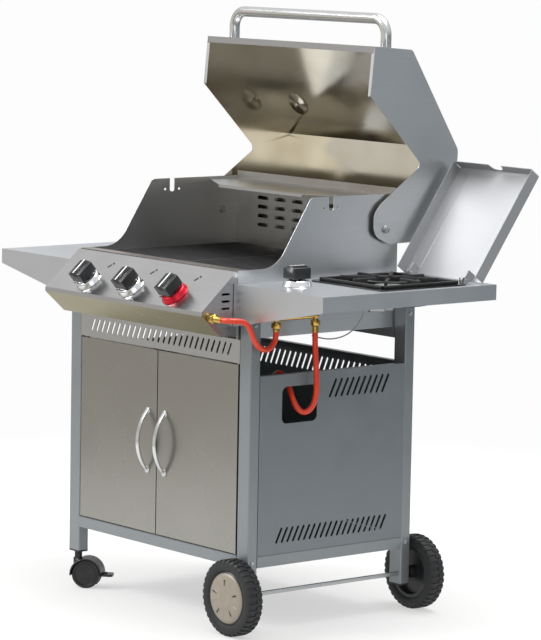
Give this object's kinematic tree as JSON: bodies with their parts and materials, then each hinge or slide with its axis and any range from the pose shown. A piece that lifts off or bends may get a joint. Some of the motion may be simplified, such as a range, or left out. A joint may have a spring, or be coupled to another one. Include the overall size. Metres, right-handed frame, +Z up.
{
  "type": "gas barbecue grill",
  "caption": "Trolley gas barbecue with a lifting hood, side shelves, a lidded side burner, cabinet doors, two wheels and two casters.",
  "frame": {"origin": "on the floor, under the middle of the whole grill's bounding box", "axes": "+X to the user's right, -Y the front, +Z up"},
  "size_m": [1.21, 0.7659, 1.3895],
  "materials": {
    "frame_steel": "silver-grey coated sheet steel",
    "stainless": "brushed stainless sheet",
    "plated_steel": "zinc-plated steel",
    "black_plastic": "moulded black nylon and phenolic",
    "tyre": "solid rubber tread",
    "black_rubber": "moulded caster tread",
    "cast_iron": "matt enamelled cast iron",
    "chrome": "polished chrome plate; one bezel is red",
    "brass": "turned brass",
    "needle_paint": "painted pointer",
    "black_enamel": "gloss vitreous enamel",
    "aluminium": "cast aluminium burner head",
    "gas_hose": "orange-red gas hose",
    "regulator_body": "die-cast regulator",
    "lead_sleeve": "sleeved igniter lead"
  },
  "bodies": {
    "cart": {"legs": "frame_steel", "frame_rails": "frame_steel", "front_top_rail": "frame_steel", "side_panel_left": "frame_steel", "side_panel_right": "frame_steel", "rear_panel": "frame_steel", "base_shelf": "frame_steel", "door_fittings": "plated_steel", "leg_plugs": "black_plastic", "axle": "plated_steel", "firebox_sides": "stainless", "firebox_back": "stainless", "firebox_front": "stainless", "firebox_brackets": "plated_steel", "warming_ledge": "stainless", "heat_tents": "stainless", "burner_tubes": "stainless", "fascia": "stainless", "bezels": "chrome", "gas_manifold": "brass", "side_gas_train": "brass", "pivot_pins": "plated_steel", "screws": "plated_steel", "shelf_left": "stainless", "shelf_right": "stainless", "hob_plate": "black_enamel", "side_burner": "aluminium", "hose_a": "gas_hose", "hose_b": "gas_hose", "hose_ferrules": "brass", "regulator": "regulator_body", "igniter_lead": "lead_sleeve"},
    "hood": {"hood_sides": "stainless", "hood_shell": "stainless", "hood_handle": "stainless", "thermometer": "stainless"},
    "thermo_needle": {"thermometer_needle": "needle_paint"},
    "side_lid": {"side_lid": "stainless"},
    "door_left": {"door_left": "stainless"},
    "door_right": {"door_right": "stainless"},
    "drip_tray": {"drip_tray": "plated_steel"},
    "grate_left": {"cooking_grate_left": "cast_iron"},
    "grate_right": {"cooking_grate_right": "cast_iron"},
    "pan_support": {"pan_support": "cast_iron"},
    "wheel_front": {"wheel_front": "tyre"},
    "wheel_rear": {"wheel_rear": "tyre"},
    "stem_1": {"valve_stem_1": "brass"},
    "knob_1": {"knob_1": "black_plastic"},
    "stem_2": {"valve_stem_2": "brass"},
    "knob_2": {"knob_2": "black_plastic"},
    "stem_3": {"valve_stem_3": "brass"},
    "knob_3": {"knob_3": "black_plastic"},
    "side_stem": {"side_valve_stem": "brass"},
    "side_knob": {"side_knob": "black_plastic"},
    "caster_front": {"caster_front": "black_plastic"},
    "caster_wheels_front": {"caster_wheels_front": "black_rubber"},
    "brake_front": {"brake_lever_front": "black_plastic"},
    "caster_rear": {"caster_rear": "black_plastic"},
    "caster_wheels_rear": {"caster_wheels_rear": "black_rubber"},
    "brake_rear": {"brake_lever_rear": "black_plastic"}
  },
  "joints": [
    {"name": "hood_hinge", "type": "hinge", "parent": "cart", "child": "hood", "pos_m": [0, 0.163, 0.895], "axis": [1, 0, 0], "range_deg": [0, 93.8]},
    {"name": "thermometer_needle_turn", "type": "hinge", "parent": "hood", "child": "thermo_needle", "pos_m": [-0.215, 0.33175, 1.15348], "axis": [0, 0.8435, 0.5371], "range_deg": [-250, 0]},
    {"name": "side_lid_hinge", "type": "hinge", "parent": "cart", "child": "side_lid", "pos_m": [0.459, 0.185, 0.8], "axis": [1, 0, 0], "range_deg": [0, 125.4]},
    {"name": "door_left_hinge", "type": "hinge", "parent": "cart", "child": "door_left", "pos_m": [-0.2875, -0.248, 0.394], "axis": [0, 0, 1], "range_deg": [-110, 0]},
    {"name": "door_right_hinge", "type": "hinge", "parent": "cart", "child": "door_right", "pos_m": [0.2875, -0.248, 0.394], "axis": [0, 0, 1], "range_deg": [0, 110]},
    {"name": "knob_1_push", "type": "slide", "parent": "cart", "child": "stem_1", "axis": [0, 0.6629, -0.7487], "range_m": [0, 0.0025], "stiffness_N_per_m": 1500, "springref_m": -0.001},
    {"name": "knob_1_turn", "type": "hinge", "parent": "stem_1", "child": "knob_1", "pos_m": [-0.163, -0.33538, 0.75934], "axis": [0, -0.6629, 0.7487], "range_deg": [0, 180]},
    {"name": "knob_2_push", "type": "slide", "parent": "cart", "child": "stem_2", "axis": [0, 0.6629, -0.7487], "range_m": [0, 0.0025], "stiffness_N_per_m": 1500, "springref_m": -0.001},
    {"name": "knob_2_turn", "type": "hinge", "parent": "stem_2", "child": "knob_2", "pos_m": [0, -0.33538, 0.75934], "axis": [0, -0.6629, 0.7487], "range_deg": [0, 180]},
    {"name": "knob_3_push", "type": "slide", "parent": "cart", "child": "stem_3", "axis": [0, 0.6629, -0.7487], "range_m": [0, 0.0025], "stiffness_N_per_m": 1500, "springref_m": -0.001},
    {"name": "knob_3_turn", "type": "hinge", "parent": "stem_3", "child": "knob_3", "pos_m": [0.163, -0.33538, 0.75934], "axis": [0, -0.6629, 0.7487], "range_deg": [0, 180]},
    {"name": "side_knob_push", "type": "slide", "parent": "cart", "child": "side_stem", "axis": [0, 0, -1], "range_m": [0, 0.0025], "stiffness_N_per_m": 1500, "springref_m": -0.001},
    {"name": "side_knob_turn", "type": "hinge", "parent": "side_stem", "child": "side_knob", "pos_m": [0.4, -0.177, 0.792], "axis": [0, 0, 1], "range_deg": [0, 180]},
    {"name": "wheel_front_spin", "type": "hinge", "parent": "cart", "child": "wheel_front", "pos_m": [0.325, -0.285, 0.0875], "axis": [0, 1, 0], "continuous": true},
    {"name": "wheel_rear_spin", "type": "hinge", "parent": "cart", "child": "wheel_rear", "pos_m": [0.325, 0.261, 0.0875], "axis": [0, 1, 0], "continuous": true},
    {"name": "caster_front_swivel", "type": "hinge", "parent": "cart", "child": "caster_front", "pos_m": [-0.32, -0.242, 0.1], "axis": [0, 0, 1], "continuous": true},
    {"name": "caster_front_roll", "type": "hinge", "parent": "caster_front", "child": "caster_wheels_front", "pos_m": [-0.30365, -0.22728, 0.034], "axis": [-0.6691, 0.7431, 0], "continuous": true},
    {"name": "brake_front_press", "type": "hinge", "parent": "caster_front", "child": "brake_front", "pos_m": [-0.27132, -0.19817, 0.032], "axis": [-0.6691, 0.7431, 0], "range_deg": [0, 12]},
    {"name": "caster_rear_swivel", "type": "hinge", "parent": "cart", "child": "caster_rear", "pos_m": [-0.32, 0.218, 0.1], "axis": [0, 0, 1], "continuous": true},
    {"name": "caster_rear_roll", "type": "hinge", "parent": "caster_rear", "child": "caster_wheels_rear", "pos_m": [-0.29908, 0.2248, 0.034], "axis": [-0.309, 0.9511, 0], "continuous": true},
    {"name": "brake_rear_press", "type": "hinge", "parent": "caster_rear", "child": "brake_rear", "pos_m": [-0.25771, 0.23824, 0.032], "axis": [-0.309, 0.9511, 0], "range_deg": [0, 12]},
    {"name": "drip_tray_slide", "type": "slide", "parent": "cart", "child": "drip_tray", "axis": [0, 1, 0], "range_m": [0, 0.4]},
    {"name": "grate_left_lift", "type": "slide", "parent": "cart", "child": "grate_left", "axis": [0, 0, 1], "range_m": [0, 0.1]},
    {"name": "grate_right_lift", "type": "slide", "parent": "cart", "child": "grate_right", "axis": [0, 0, 1], "range_m": [0, 0.1]},
    {"name": "pan_support_lift", "type": "slide", "parent": "cart", "child": "pan_support", "axis": [0, 0, 1], "range_m": [0, 0.06]}
  ]
}
